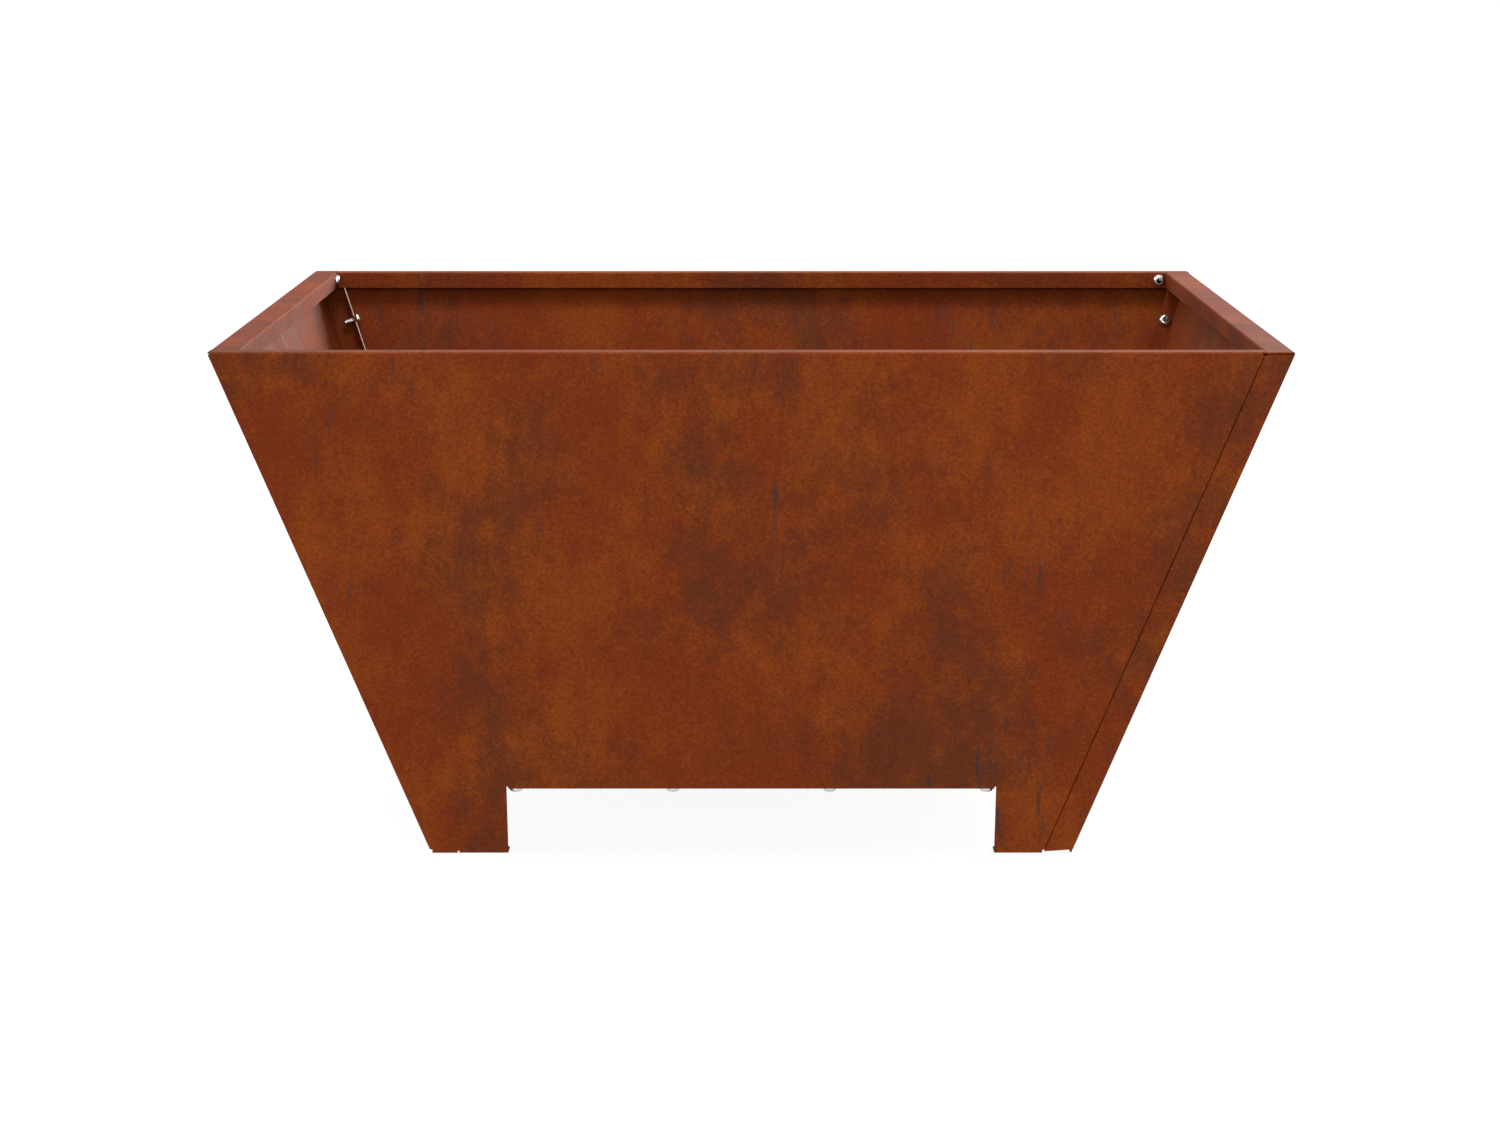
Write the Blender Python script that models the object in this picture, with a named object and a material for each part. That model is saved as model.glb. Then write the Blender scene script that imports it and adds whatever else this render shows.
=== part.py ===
"""Square tapered planter box: four identical folded sheet panels, a floor plate and its bolts.

Metres, +Z up. The origin is on the ground, under the middle of the box. The front faces -Y.
Every panel is the same folding, turned a quarter turn about Z each time. It wraps round the
corner at its left, seen from outside, and meets the next panel in a bolted seam beside the
corner at its right.
"""
import math

import bmesh
import bpy
from mathutils import Matrix, Vector

# Overall box, to the sharp corners of the outer faces: the rounded folds make the rim 0.800
TOP_WIDTH = 0.8012
BASE_WIDTH = 0.501
HEIGHT = 0.407
SHEET = 0.0012
BEND_RADIUS = 0.0014
BEND_SEGMENTS = 3
FIT_GAP = 0.0003

# Rim, hanging lip and the tab that the lip is bolted by
RIM_WIDTH = 0.022
LIP_HEIGHT = 0.014
TAB_LENGTH = 0.013
NOTCH_WIDTH = 0.0012
RIM_CLEARANCE = 0.0011
RIM_TIP_INSET = 0.0006

# Corner seams and their inner flanges
SEAM_OFFSET = 0.022
RETURN_DEPTH = 0.014
CORNER_RELIEF = 0.0024
CORNER_NOTCH = 0.0025
WRAP_TOP_DROP = 0.0020

# Legs, feet and floor
LEG_HEIGHT = 0.055
LEG_INNER_X = 0.190
FOOT_DEPTH = 0.020
FOOT_RELIEF = 0.0018
SEAM_FOOT_RELIEF = 0.0026
CORNER_FOOT_RELIEF = 0.0030
CORNER_FOOT_NOTCH = 0.0010
FLOOR_FLANGE_DEPTH = 0.022
PLATE_THICKNESS = 0.002
PLATE_GAP = 0.0008
PLATE_NOTCH = 0.0232
DRAIN_RADIUS = 0.006
DRAIN_SPACING = 0.120

# M6 button-head screws and nuts
SCREW_RADIUS = 0.0030
SCREW_LENGTH = 0.012
HEAD_RADIUS = 0.00525
HEAD_HEIGHT = 0.0033
HEAD_SHOULDER = (0.92, 0.5)
HEAD_CROWN = 0.62
SOCKET_WIDTH = 0.004
SOCKET_DEPTH = 0.002
NUT_WIDTH = 0.010
NUT_HEIGHT = 0.005
HOLE_RADIUS = 0.0033
ROUND_SIDES = 12
SMOOTH_ANGLE = 35
DRILL_LENGTH = 0.012

# Fastener places
RIM_SCREW_INSET = 0.0062
RIM_SCREW_DROP = 0.007
SEAM_SCREW_DEPTH = 0.0078
SEAM_SCREW_DROP = 0.0452
SEAM_SCREW_PITCH = 0.135
SEAM_SCREW_ROWS = ("top", "middle", "bottom")
FLOOR_SCREW_X = (-0.183, -0.061, 0.061, 0.183)
FLOOR_SCREW_INSET = 0.009

SIDES = ("front", "right", "back", "left")
SLOPE = (TOP_WIDTH - BASE_WIDTH) / 2 / HEIGHT


def half_width(z):
    """Half the width over the outer faces at height z."""
    return BASE_WIDTH / 2 + SLOPE * z


def wall_point(x, z):
    return Vector((x, -half_width(z), z))


def flange_point(inset, z):
    """A point in the left wall's plane, at a level distance from the corner line."""
    return Vector((-half_width(z), -half_width(z) + inset, z))


def seam_x(z):
    return half_width(z) - SEAM_OFFSET - FIT_GAP / 2


FACE_INWARD = Vector((0, 1, SLOPE)).normalized()
SIDE_INWARD = Vector((1, 0, SLOPE)).normalized()
SEAM_ALONG = Vector((SLOPE, -SLOPE, 1)).normalized()
SEAM_ACROSS = SEAM_ALONG.cross(FACE_INWARD).normalized()


class Skin:
    """The outer skin of a folded sheet: flat faces that share their fold edges."""

    def __init__(self):
        self.mesh = bmesh.new()
        self.corners = {}

    def corner(self, point):
        key = tuple(round(c, 6) for c in point)
        if key not in self.corners:
            self.corners[key] = self.mesh.verts.new(point)
        return self.corners[key]

    def face(self, points):
        return self.mesh.faces.new([self.corner(p) for p in points])

    def fold(self, outer_side):
        """Round every fold; the radius is on the side that the fold turns away from."""
        folds = [e for e in self.mesh.edges if len(e.link_faces) == 2]
        for edge in folds:
            angle = edge.calc_face_angle_signed()
            radius = BEND_RADIUS if angle * outer_side > 0 else BEND_RADIUS - SHEET
            bmesh.ops.bevel(self.mesh, geom=[edge], offset=radius * math.tan(abs(angle) / 2),
                            offset_type="OFFSET", segments=BEND_SEGMENTS, profile=0.5,
                            affect="EDGES", clamp_overlap=False, material=-1)


def return_tip(z):
    """The seam-side corner at height z, moved to the tip of the return at the same height."""
    lower = z - RETURN_DEPTH * FACE_INWARD.z
    return wall_point(seam_x(lower), lower) + RETURN_DEPTH * FACE_INWARD


def wrapped_tip(z):
    lower = z - RETURN_DEPTH * SIDE_INWARD.z
    return flange_point(SEAM_OFFSET - FIT_GAP / 2, lower) + RETURN_DEPTH * SIDE_INWARD


def panel_skin():
    """The front panel's outer skin."""
    skin = Skin()
    top = HEIGHT
    rim_inner = -half_width(top) + RIM_WIDTH
    fold_top = top - CORNER_RELIEF
    corner_x = -half_width(top) + CORNER_NOTCH
    rim_end = -rim_inner - FIT_GAP
    rim_fold_end = seam_x(fold_top) - BEND_RADIUS - FIT_GAP
    leg_top = LEG_HEIGHT + FOOT_RELIEF
    flange_end = LEG_INNER_X - NOTCH_WIDTH
    foot_end = half_width(0) - SEAM_OFFSET
    seam_foot_end = seam_x(SEAM_FOOT_RELIEF) - BEND_RADIUS - FIT_GAP
    corner_foot = CORNER_FOOT_RELIEF
    corner_foot_x = -half_width(0) + CORNER_FOOT_NOTCH

    wall = [(corner_foot_x, 0), (-foot_end - NOTCH_WIDTH, 0),
            (-foot_end - NOTCH_WIDTH, FOOT_RELIEF), (-foot_end, FOOT_RELIEF),
            (-foot_end, 0), (-LEG_INNER_X, 0), (-LEG_INNER_X, leg_top), (-flange_end, leg_top),
            (-flange_end, LEG_HEIGHT), (flange_end, LEG_HEIGHT), (flange_end, leg_top),
            (LEG_INNER_X, leg_top), (LEG_INNER_X, 0), (seam_foot_end, 0),
            (seam_foot_end, SEAM_FOOT_RELIEF), (seam_x(SEAM_FOOT_RELIEF), SEAM_FOOT_RELIEF),
            (seam_x(fold_top), fold_top), (rim_fold_end, fold_top), (rim_fold_end, top),
            (corner_x, top), (corner_x, fold_top), (-half_width(fold_top), fold_top),
            (-half_width(corner_foot), corner_foot), (corner_foot_x, corner_foot)]
    skin.face([wall_point(x, z) for x, z in wall])

    # Rim, with a relief beside the lip's fold at the left and one beside the seam at the right.
    # Its left end is carried over the wrapped flange, flush with the left wall.
    fold_y = -half_width(top)
    relief_y = fold_y + CORNER_RELIEF
    slot_y = rim_inner - CORNER_RELIEF
    rim_tip = fold_y + RIM_TIP_INSET
    rim = [(corner_x, fold_y), (rim_fold_end, fold_y), (rim_fold_end, relief_y),
           (rim_end, relief_y), (rim_end, rim_inner), (-rim_end, rim_inner),
           (-rim_end, slot_y), (-rim_end - NOTCH_WIDTH, slot_y),
           (-rim_end - NOTCH_WIDTH, rim_inner), (rim_tip, rim_inner), (rim_tip, relief_y),
           (corner_x, relief_y)]
    skin.face([Vector((x, y, top)) for x, y in rim])

    # Hanging lip, carried past the next panel's lip, and its bolting tab
    tab_x = -rim_inner + SHEET + FIT_GAP
    tab_top = top - SHEET - RIM_CLEARANCE
    lip_foot = top - LIP_HEIGHT
    lip = [(-rim_end, lip_foot), (-rim_end, top), (rim_end, top), (rim_end, tab_top),
           (tab_x, tab_top), (tab_x, lip_foot)]
    skin.face([Vector((x, rim_inner, z)) for x, z in lip])
    tab = [(rim_inner, tab_top), (rim_inner + TAB_LENGTH, tab_top),
           (rim_inner + TAB_LENGTH, lip_foot), (rim_inner, lip_foot)]
    skin.face([Vector((tab_x, y, z)) for y, z in tab])

    # Flange that wraps the left corner up to the rim's end, and the two returns of the seams
    wrap = SEAM_OFFSET - FIT_GAP / 2
    seam_foot = SEAM_FOOT_RELIEF / 2
    wrap_top = top - WRAP_TOP_DROP
    wrapped = [(0, corner_foot), (0, fold_top), (CORNER_NOTCH, fold_top), (CORNER_NOTCH, wrap_top),
               (wrap - CORNER_NOTCH, wrap_top), (wrap - CORNER_NOTCH, fold_top),
               (wrap, fold_top), (wrap, seam_foot)]
    skin.face([flange_point(inset, z) for inset, z in wrapped])
    skin.face([flange_point(wrap, seam_foot), flange_point(wrap, fold_top), wrapped_tip(fold_top),
               flange_point(wrap, seam_foot) + RETURN_DEPTH * SIDE_INWARD])
    foot = wall_point(seam_x(SEAM_FOOT_RELIEF), SEAM_FOOT_RELIEF)
    skin.face([foot, foot + RETURN_DEPTH * FACE_INWARD, return_tip(fold_top),
               wall_point(seam_x(fold_top), fold_top)])

    # Floor flange between the legs, and the two feet
    ledges = ((-flange_end, flange_end, LEG_HEIGHT, FLOOR_FLANGE_DEPTH),
              (-foot_end, -LEG_INNER_X, 0, FOOT_DEPTH), (LEG_INNER_X, seam_foot_end, 0, FOOT_DEPTH))
    for left, right, z, depth in ledges:
        inward = Vector((0, depth, 0))
        skin.face([wall_point(right, z), wall_point(left, z),
                   wall_point(left, z) + inward, wall_point(right, z) + inward])
    return skin


def make_object(name, mesh, material):
    mesh.materials.clear()
    if material:
        mesh.materials.append(material)
    obj = bpy.data.objects.new(name, mesh)
    bpy.context.scene.collection.objects.link(obj)
    return obj


def mesh_from(bm, name):
    mesh = bpy.data.meshes.new(name)
    bm.to_mesh(mesh)
    bm.free()
    return mesh


def drilled_mesh(blank, places, name):
    """The blank's mesh with its modifiers, and a round hole at every (centre, axis, radius)."""
    bm = bmesh.new()
    for centre, axis, radius in places:
        turn = Vector(axis).to_track_quat("Z", "Y").to_matrix().to_4x4()
        bmesh.ops.create_cone(bm, cap_ends=True, segments=ROUND_SIDES, radius1=radius,
                              radius2=radius, depth=DRILL_LENGTH,
                              matrix=Matrix.Translation(centre) @ turn)
    cutter = make_object(name + "_cutter", mesh_from(bm, name + "_cutter"), None)
    cutter.hide_render = True
    cutter.display_type = "WIRE"
    drill = blank.modifiers.new("holes", "BOOLEAN")
    drill.operation = "DIFFERENCE"
    drill.solver = "EXACT"
    drill.object = cutter
    graph = bpy.context.evaluated_depsgraph_get()
    mesh = bpy.data.meshes.new_from_object(blank.evaluated_get(graph))
    mesh.name = name
    bpy.data.objects.remove(blank)
    bpy.data.objects.remove(cutter)
    return mesh


def rim_screw_place():
    """Where the next panel's tab is bolted: through this panel's lip, at its left end."""
    inner = half_width(HEIGHT) - RIM_WIDTH
    return Vector((-inner + RIM_SCREW_INSET, -inner, HEIGHT - RIM_SCREW_DROP)), Vector((0, -1, 0))


def tab_hole_place():
    """The hole in this panel's own tab: the same place one quarter turn on."""
    centre, axis = rim_screw_place()
    turn = Matrix.Rotation(math.pi / 2, 3, "Z")
    return turn @ centre, turn @ axis


def seam_screw_places():
    """Seam screws of the right-hand seam, top first: their heads lie on this panel's return."""
    places = []
    for row in range(len(SEAM_SCREW_ROWS)):
        z = HEIGHT - SEAM_SCREW_DROP - row * SEAM_SCREW_PITCH
        on_seam = wall_point(seam_x(z), z) + SEAM_SCREW_DEPTH * FACE_INWARD
        places.append((on_seam + SHEET * SEAM_ACROSS, -SEAM_ACROSS))
    return places


def floor_screw_places():
    y = -half_width(LEG_HEIGHT) + FLOOR_SCREW_INSET
    return [(Vector((x, y, LEG_HEIGHT)), Vector((0, 0, 1))) for x in FLOOR_SCREW_X]


def panel_mesh():
    """One folded panel with its bolt holes."""
    skin = panel_skin()
    skin.mesh.normal_update()
    skin.fold(outer_side=1)
    blank = make_object("panel_blank", mesh_from(skin.mesh, "panel_blank"), None)
    wall = blank.modifiers.new("sheet", "SOLIDIFY")
    wall.solidify_mode = "NON_MANIFOLD"
    wall.nonmanifold_thickness_mode = "CONSTRAINTS"
    wall.nonmanifold_boundary_mode = "NONE"
    wall.thickness = SHEET
    wall.offset = -1

    back_turn = Matrix.Rotation(-math.pi / 2, 3, "Z")
    holes = [rim_screw_place(), tab_hole_place()] + floor_screw_places()
    for centre, axis in seam_screw_places():
        holes.append((centre, axis))
        holes.append((back_turn @ centre, back_turn @ axis))
    return drilled_mesh(blank, [(centre, axis, HOLE_RADIUS) for centre, axis in holes],
                        "folded_panel")


def ring(bm, radius, z, hexagonal=False):
    """A ring of ROUND_SIDES points, round or on a hexagon of that half width."""
    points = []
    for i in range(ROUND_SIDES):
        angle = 2 * math.pi * i / ROUND_SIDES
        reach = radius
        if hexagonal:
            reach = radius / math.cos((angle + math.pi / 6) % (math.pi / 3) - math.pi / 6)
        points.append(bm.verts.new((reach * math.cos(angle), reach * math.sin(angle), z)))
    return points


def joined_rings(rings, closed_loop=False):
    """Bridge a list of (radius, z, hexagonal) rings; cap the ends unless they form a loop."""
    bm = bmesh.new()
    loops = [ring(bm, *item) for item in rings]
    pairs = list(zip(loops, loops[1:]))
    if closed_loop:
        pairs.append((loops[-1], loops[0]))
    for one, other in pairs:
        for i in range(ROUND_SIDES):
            j = (i + 1) % ROUND_SIDES
            bm.faces.new((one[i], one[j], other[j], other[i]))
    if not closed_loop:
        bm.faces.new(list(reversed(loops[0])))
        bm.faces.new(loops[-1])
    bmesh.ops.recalc_face_normals(bm, faces=bm.faces)
    return bm


def finish_round(mesh):
    mesh.shade_smooth()
    mesh.set_sharp_from_angle(angle=math.radians(SMOOTH_ANGLE))
    return mesh


def screw_mesh():
    """Button-head screw along +Z: the head's underside is at Z = 0, the head below it."""
    rings = [(SCREW_RADIUS, SCREW_LENGTH, False), (SCREW_RADIUS, 0, False),
             (HEAD_RADIUS, 0, False),
             (HEAD_SHOULDER[0] * HEAD_RADIUS, -HEAD_SHOULDER[1] * HEAD_HEIGHT, False),
             (HEAD_CROWN * HEAD_RADIUS, -HEAD_HEIGHT, False),
             (SOCKET_WIDTH / 2, -HEAD_HEIGHT, True),
             (SOCKET_WIDTH / 2, -HEAD_HEIGHT + SOCKET_DEPTH, True)]
    return finish_round(mesh_from(joined_rings(rings), "button_head_screw"))


def nut_mesh():
    """Hexagon nut standing on Z = 0."""
    rings = [(HOLE_RADIUS, 0, False), (NUT_WIDTH / 2, 0, True),
             (NUT_WIDTH / 2, NUT_HEIGHT, True), (HOLE_RADIUS, NUT_HEIGHT, False)]
    return finish_round(mesh_from(joined_rings(rings, closed_loop=True), "hexagon_nut"))


def floor_plate_mesh():
    """Flat square plate, notched round the corner returns, with drain and bolt holes."""
    low = LEG_HEIGHT + SHEET + FIT_GAP
    half = half_width(low) - SHEET / math.cos(math.atan(SLOPE)) - PLATE_GAP
    notch = half - PLATE_NOTCH
    quarter_outline = [(half, -notch), (half, notch), (notch, notch)]
    bm = bmesh.new()
    corners = []
    for turn in range(4):
        spin = Matrix.Rotation(turn * math.pi / 2, 3, "Z")
        corners += [bm.verts.new(spin @ Vector((x, y, low))) for x, y in quarter_outline]
    base = bm.faces.new(corners)
    grown = bmesh.ops.extrude_face_region(bm, geom=[base])
    bmesh.ops.translate(bm, vec=(0, 0, PLATE_THICKNESS),
                        verts=[g for g in grown["geom"] if isinstance(g, bmesh.types.BMVert)])
    bmesh.ops.recalc_face_normals(bm, faces=bm.faces)
    blank = make_object("plate_blank", mesh_from(bm, "plate_blank"), None)

    up = Vector((0, 0, 1))
    holes = [(Vector((0, 0, low)), up, DRAIN_RADIUS)]
    for turn in range(4):
        spin = Matrix.Rotation(turn * math.pi / 2, 3, "Z")
        holes += [(spin @ centre, up, HOLE_RADIUS) for centre, _ in floor_screw_places()]
        holes.append((spin @ Vector((DRAIN_SPACING, DRAIN_SPACING, low)), up, DRAIN_RADIUS))
    return drilled_mesh(blank, holes, "floor_plate")


def steel(name, color, roughness, metallic):
    material = bpy.data.materials.new(name)
    material.use_nodes = True
    shader = material.node_tree.nodes["Principled BSDF"]
    shader.inputs["Base Color"].default_value = (*color, 1)
    shader.inputs["Roughness"].default_value = roughness
    shader.inputs["Metallic"].default_value = metallic
    return material


def place_fastener(name, mesh, material, centre, axis, lift, quarter_turn):
    """Stand a fastener at centre, along axis, lifted along it, on the side turned to."""
    stand = Vector(axis).to_track_quat("Z", "Y").to_matrix().to_4x4()
    turn = Matrix.Rotation(quarter_turn * math.pi / 2, 4, "Z")
    obj = make_object(name, mesh, material)
    obj.matrix_world = turn @ Matrix.Translation(centre + lift * Vector(axis)) @ stand
    return obj


def build():
    for obj in list(bpy.data.objects):
        bpy.data.objects.remove(obj)

    rusted = steel("weathering_steel", (0.19, 0.045, 0.014), 0.62, 0.25)
    stainless = steel("stainless_steel", (0.62, 0.62, 0.60), 0.28, 1.0)

    panel = panel_mesh()
    for turn, side in enumerate(SIDES):
        obj = make_object(side + "_panel", panel, rusted)
        obj.rotation_euler.z = turn * math.pi / 2
    make_object("floor_plate", floor_plate_mesh(), rusted)

    screw = screw_mesh()
    nut = nut_mesh()
    for turn, side in enumerate(SIDES):
        centre, axis = rim_screw_place()
        place_fastener(side + "_rim_screw", screw, stainless, centre, axis, -FIT_GAP, turn)
        for row, (centre, axis) in zip(SEAM_SCREW_ROWS, seam_screw_places()):
            place_fastener(side + "_seam_screw_" + row, screw, stainless,
                           centre, axis, -FIT_GAP, turn)
        for number, (centre, axis) in enumerate(floor_screw_places(), start=1):
            place_fastener(side + "_floor_screw_" + str(number), screw, stainless,
                           centre, axis, -FIT_GAP, turn)
            on_plate = SHEET + PLATE_THICKNESS + 2 * FIT_GAP
            place_fastener(side + "_floor_nut_" + str(number), nut, stainless,
                           centre, axis, on_plate, turn)


build()
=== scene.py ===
import math

import bmesh
import bpy
from mathutils import Matrix, Vector


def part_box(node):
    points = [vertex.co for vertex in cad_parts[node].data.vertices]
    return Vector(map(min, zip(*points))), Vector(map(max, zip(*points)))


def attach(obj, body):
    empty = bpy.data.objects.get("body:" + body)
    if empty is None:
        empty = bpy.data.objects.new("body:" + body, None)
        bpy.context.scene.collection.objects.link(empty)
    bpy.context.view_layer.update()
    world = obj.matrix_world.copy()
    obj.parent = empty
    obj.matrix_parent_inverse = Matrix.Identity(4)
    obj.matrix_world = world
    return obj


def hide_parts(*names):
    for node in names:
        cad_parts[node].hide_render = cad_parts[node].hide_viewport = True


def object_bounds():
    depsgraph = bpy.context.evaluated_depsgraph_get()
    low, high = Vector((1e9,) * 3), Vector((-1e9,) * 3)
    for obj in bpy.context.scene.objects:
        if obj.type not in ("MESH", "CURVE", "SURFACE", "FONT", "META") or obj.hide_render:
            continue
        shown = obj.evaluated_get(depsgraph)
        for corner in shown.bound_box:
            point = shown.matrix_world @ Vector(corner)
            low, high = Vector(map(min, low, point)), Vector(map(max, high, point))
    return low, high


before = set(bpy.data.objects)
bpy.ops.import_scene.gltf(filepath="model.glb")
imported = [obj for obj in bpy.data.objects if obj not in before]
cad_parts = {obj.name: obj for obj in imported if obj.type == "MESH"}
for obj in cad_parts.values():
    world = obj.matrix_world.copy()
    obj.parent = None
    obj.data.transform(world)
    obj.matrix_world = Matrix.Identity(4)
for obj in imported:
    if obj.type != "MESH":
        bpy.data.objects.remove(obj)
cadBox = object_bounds()
scene = bpy.context.scene
sides = ("front", "right", "back", "left")
seamRows = ("top", "middle", "bottom")
quarterTurn = math.pi / 2
upward = Vector((0, 0, 1))
print("frame loaded:", len(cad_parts), "nodes")

# Camera, light and floor. Lengths are in metres all through.
view = {
    "distance": 3.1642,    # in front of the front rim
    "above": 0.2969,       # over the rim
    "side": -0.001,
    "lens": 103.66,
    "pitch": 8.146,        # degrees downwards
    "sensor": 36,
    "farthest": 200,
}

studio = {
    "sky": 1.0,
    "lamps": {                       # place, size and power
        "keySoftbox": ((3.46, 3.67, 1.72), 1.95, 595),    # behind, to the right
        "topSoftbox": ((0, -1.02, 3.2), 1.0, 52),         # nearly overhead
        "fillSoftbox": ((-3.0, -0.5, 2.05), 1.2, 56),     # from the left
        "frontSoftbox": ((0, -5.2, 1.0), 2.0, 120),       # behind the camera
    },
    "floorReach": 90,
    "floorColor": (0.09, 0.09, 0.09, 1),
    "floorGlow": 0.93,
    "floorDrop": 0.0002,             # below the feet, so that the two never coincide
}


def setCamera():
    made = bpy.data.cameras.new("studioCamera")
    made.lens = view["lens"]
    made.sensor_width = view["sensor"]
    made.clip_end = view["farthest"]
    obj = bpy.data.objects.new("studioCamera", made)
    scene.collection.objects.link(obj)
    obj.location = (view["side"], cadBox[0].y - view["distance"], cadBox[1].z + view["above"])
    obj.rotation_euler = (math.radians(90 - view["pitch"]), 0, 0)
    scene.camera = obj


def setStudio():
    sky = bpy.data.worlds.new("studioSky")
    sky.use_nodes = True
    background = sky.node_tree.nodes["Background"]
    background.inputs["Color"].default_value = (1, 1, 1, 1)
    background.inputs["Strength"].default_value = studio["sky"]
    scene.world = sky
    scene.view_settings.view_transform = "Standard"

    for name, (place, size, power) in studio["lamps"].items():
        light = bpy.data.lights.new(name, "AREA")
        light.shape = "SQUARE"
        light.size = size
        light.energy = power
        lamp = bpy.data.objects.new(name, light)
        scene.collection.objects.link(lamp)
        lamp.location = place
        aim = Vector((0, 0, cadBox[1].z)) - lamp.location
        lamp.rotation_euler = aim.to_track_quat("-Z", "Y").to_euler()

    bm = bmesh.new()
    bmesh.ops.create_grid(bm, x_segments=1, y_segments=1, size=studio["floorReach"])
    mesh = bpy.data.meshes.new("studioFloor")
    bm.to_mesh(mesh)
    bm.free()
    pale = bpy.data.materials.new("paleFloor")
    pale.use_nodes = True
    shader = pale.node_tree.nodes["Principled BSDF"]
    shader.inputs["Base Color"].default_value = studio["floorColor"]
    shader.inputs["Roughness"].default_value = 1
    shader.inputs["Specular IOR Level"].default_value = 0
    shader.inputs["Emission Color"].default_value = (1, 1, 1, 1)
    shader.inputs["Emission Strength"].default_value = studio["floorGlow"]
    mesh.materials.append(pale)
    floor = bpy.data.objects.new("studioFloor", mesh)
    floor.location.z = -studio["floorDrop"]
    scene.collection.objects.link(floor)


setCamera()
setStudio()
print("camera, light and floor set")


def makeNode(tree, kind, inputs=None, **settings):
    # settings are the node's own options, inputs are numbers or other nodes' sockets
    made = tree.nodes.new(kind)
    for name, value in settings.items():
        setattr(made, name, value)
    for name, value in (inputs or {}).items():
        if isinstance(value, bpy.types.NodeSocket):
            tree.links.new(value, made.inputs[name])
        else:
            made.inputs[name].default_value = value
    return made


def startGroup(name, inputs, outputs):
    # inputs: name -> (socket kind, default), outputs: name -> socket kind
    group = bpy.data.node_groups.new(name, "ShaderNodeTree")
    for label, (kind, default) in inputs.items():
        socket = group.interface.new_socket(label, in_out="INPUT", socket_type="NodeSocket" + kind)
        if default is not None:
            socket.default_value = default
    for label, kind in outputs.items():
        group.interface.new_socket(label, in_out="OUTPUT", socket_type="NodeSocket" + kind)
    entry = group.nodes.new("NodeGroupInput")
    leave = group.nodes.new("NodeGroupOutput")
    return group, entry.outputs, leave.inputs


def placeGroup(tree, group, inputs):
    made = tree.nodes.new("ShaderNodeGroup")
    made.node_tree = group
    for name, value in inputs.items():
        if isinstance(value, bpy.types.NodeSocket):
            tree.links.new(value, made.inputs[name])
        else:
            made.inputs[name].default_value = value
    return made.outputs


def noiseAt(tree, place, scale, detail=3.0, roughness=0.5, stretch=(1, 1, 1), shift=(0, 0, 0)):
    moved = makeNode(tree, "ShaderNodeMapping",
                     {"Vector": place, "Location": shift, "Scale": stretch})
    noise = makeNode(tree, "ShaderNodeTexNoise",
                     {"Vector": moved.outputs["Vector"], "Scale": scale, "Detail": detail,
                      "Roughness": roughness})
    return noise.outputs["Fac"]


def ramp(tree, value, low, high, toLow=0.0, toHigh=1.0):
    made = makeNode(tree, "ShaderNodeMapRange",
                    {"Value": value, "From Min": low, "From Max": high, "To Min": toLow,
                     "To Max": toHigh}, interpolation_type="SMOOTHSTEP")
    return made.outputs["Result"]


def swing(tree, noise, middle, amount):
    # noise around 0.5 becomes a number around the middle
    made = makeNode(tree, "ShaderNodeMapRange",
                    {"Value": noise, "From Min": 0.2, "From Max": 0.8, "To Min": middle - amount,
                     "To Max": middle + amount}, interpolation_type="LINEAR", clamp=False)
    return made.outputs["Result"]


def combine(tree, how, one, other):
    return makeNode(tree, "ShaderNodeMath", {0: one, 1: other}, operation=how).outputs[0]


def mixColor(tree, factor, one, other, how="MIX"):
    made = makeNode(tree, "ShaderNodeMix", {0: factor, 6: one, 7: other}, data_type="RGBA",
                    blend_type=how, clamp_factor=True)
    return made.outputs[2]


def scaleColor(tree, color, factor):
    made = makeNode(tree, "ShaderNodeVectorMath", {0: color}, operation="SCALE")
    tree.links.new(factor, made.inputs["Scale"])
    return made.outputs["Vector"]


def fineGrainGroup():
    # small even roughness of a metal surface, used by every finish here
    group, given, out = startGroup(
        "fineGrain",
        {"Position": ("Vector", None), "Size": ("Float", 0.0015), "Contrast": ("Float", 0.1)},
        {"Factor": "Float", "Height": "Float"})
    scale = combine(group, "DIVIDE", 1.0, given["Size"])
    noise = makeNode(group, "ShaderNodeTexNoise", {"Vector": given["Position"], "Scale": scale,
                                                   "Detail": 2.5, "Roughness": 0.65})
    change = combine(group, "MULTIPLY", swing(group, noise.outputs["Fac"], 0, 1),
                     given["Contrast"])
    group.links.new(combine(group, "ADD", change, 1.0), out["Factor"])
    group.links.new(noise.outputs["Fac"], out["Height"])
    return group


cloudUnit = 0.11      # the cloud size that the patina's noise scales are written for


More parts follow.
